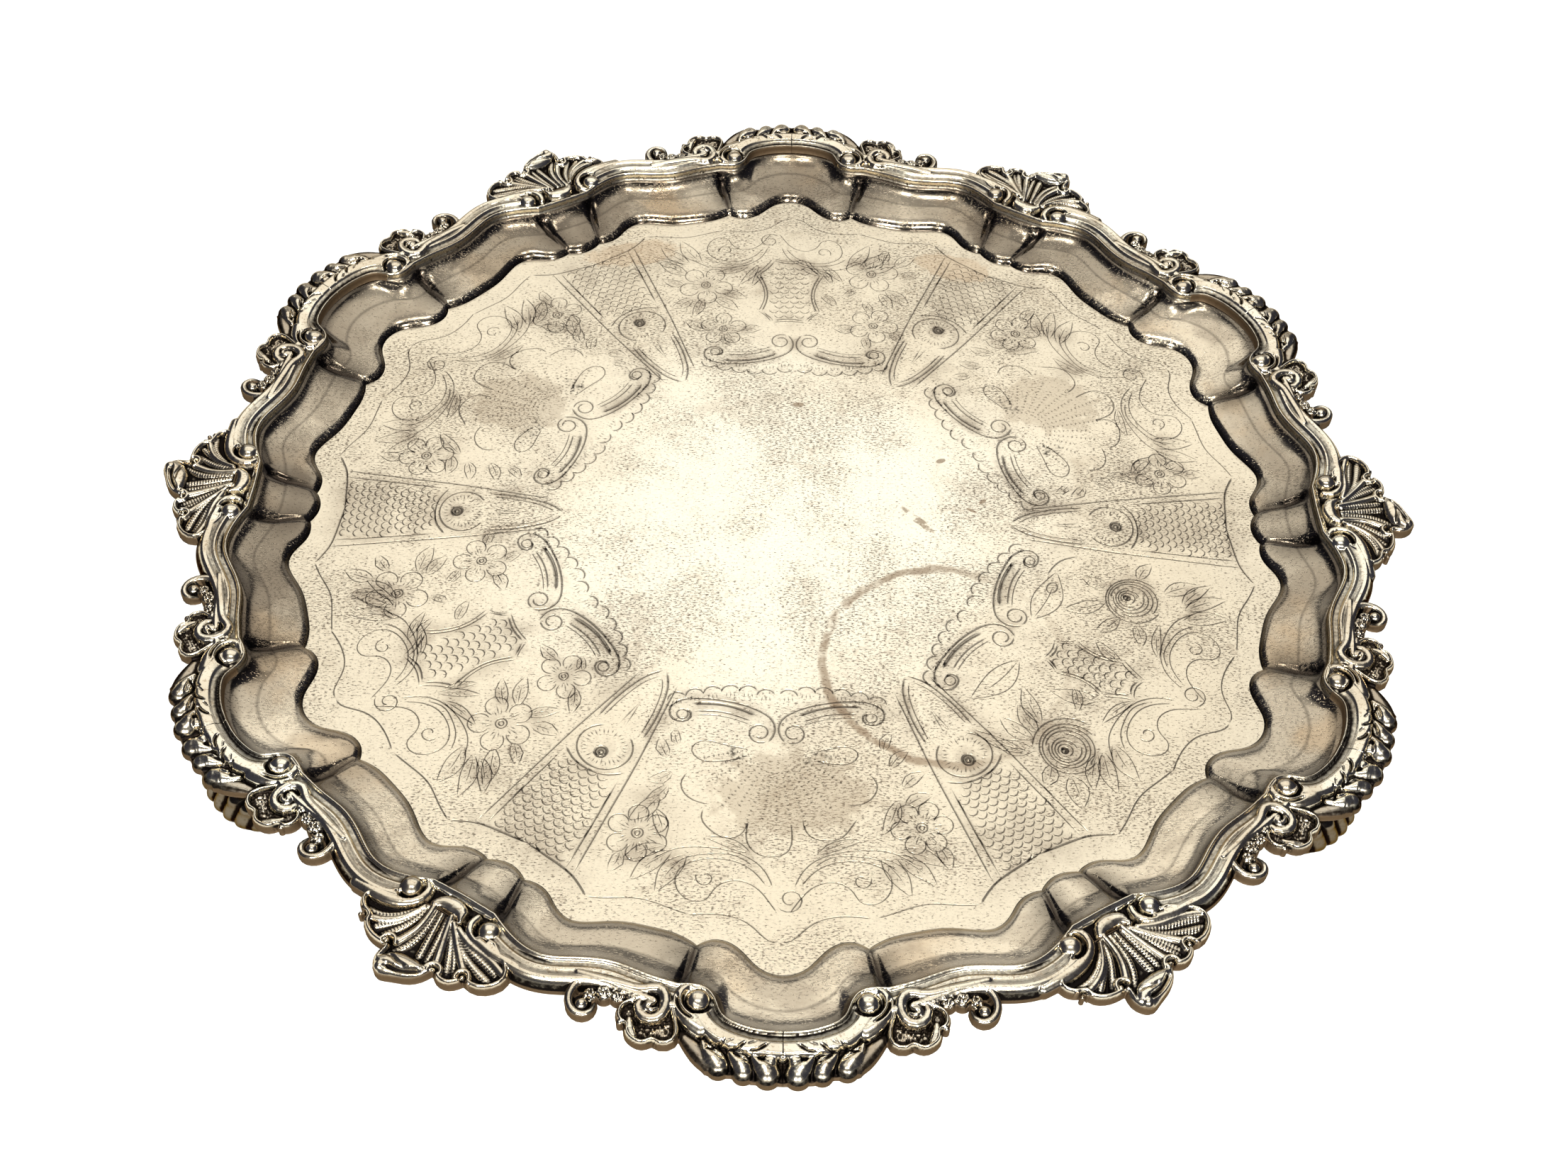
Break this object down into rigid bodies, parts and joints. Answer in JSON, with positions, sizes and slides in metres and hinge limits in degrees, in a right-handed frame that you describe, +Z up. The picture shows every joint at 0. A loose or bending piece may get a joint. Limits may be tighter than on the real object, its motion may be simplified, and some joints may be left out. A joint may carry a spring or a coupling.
{
  "type": "salver",
  "caption": "Round footed salver: dished plate with a pie-crust wall and an engraved well, cast shell-and-scroll border in sections, and cast shell-toed feet.",
  "frame": {"origin": "on the ground under the middle of the dish", "axes": "+Z up, +Y towards the rear foot, +X towards one of the shells"},
  "size_m": [0.356, 0.3534, 0.0333],
  "materials": {
    "plate_silver": "worn satin silver plate with warm tarnish and dark specks",
    "cast_silver": "polished cast silver, darkened in the recesses",
    "foot_silver": "cast silver, dull and darkened underneath"
  },
  "bodies": {
    "root": {"raised_plate": "plate_silver", "border_casting_1": "cast_silver", "border_casting_2": "cast_silver", "border_casting_3": "cast_silver", "border_casting_4": "cast_silver", "border_casting_5": "cast_silver", "border_casting_6": "cast_silver", "foot_rear": "foot_silver", "foot_left": "foot_silver", "foot_right": "foot_silver"}
  },
  "joints": []
}
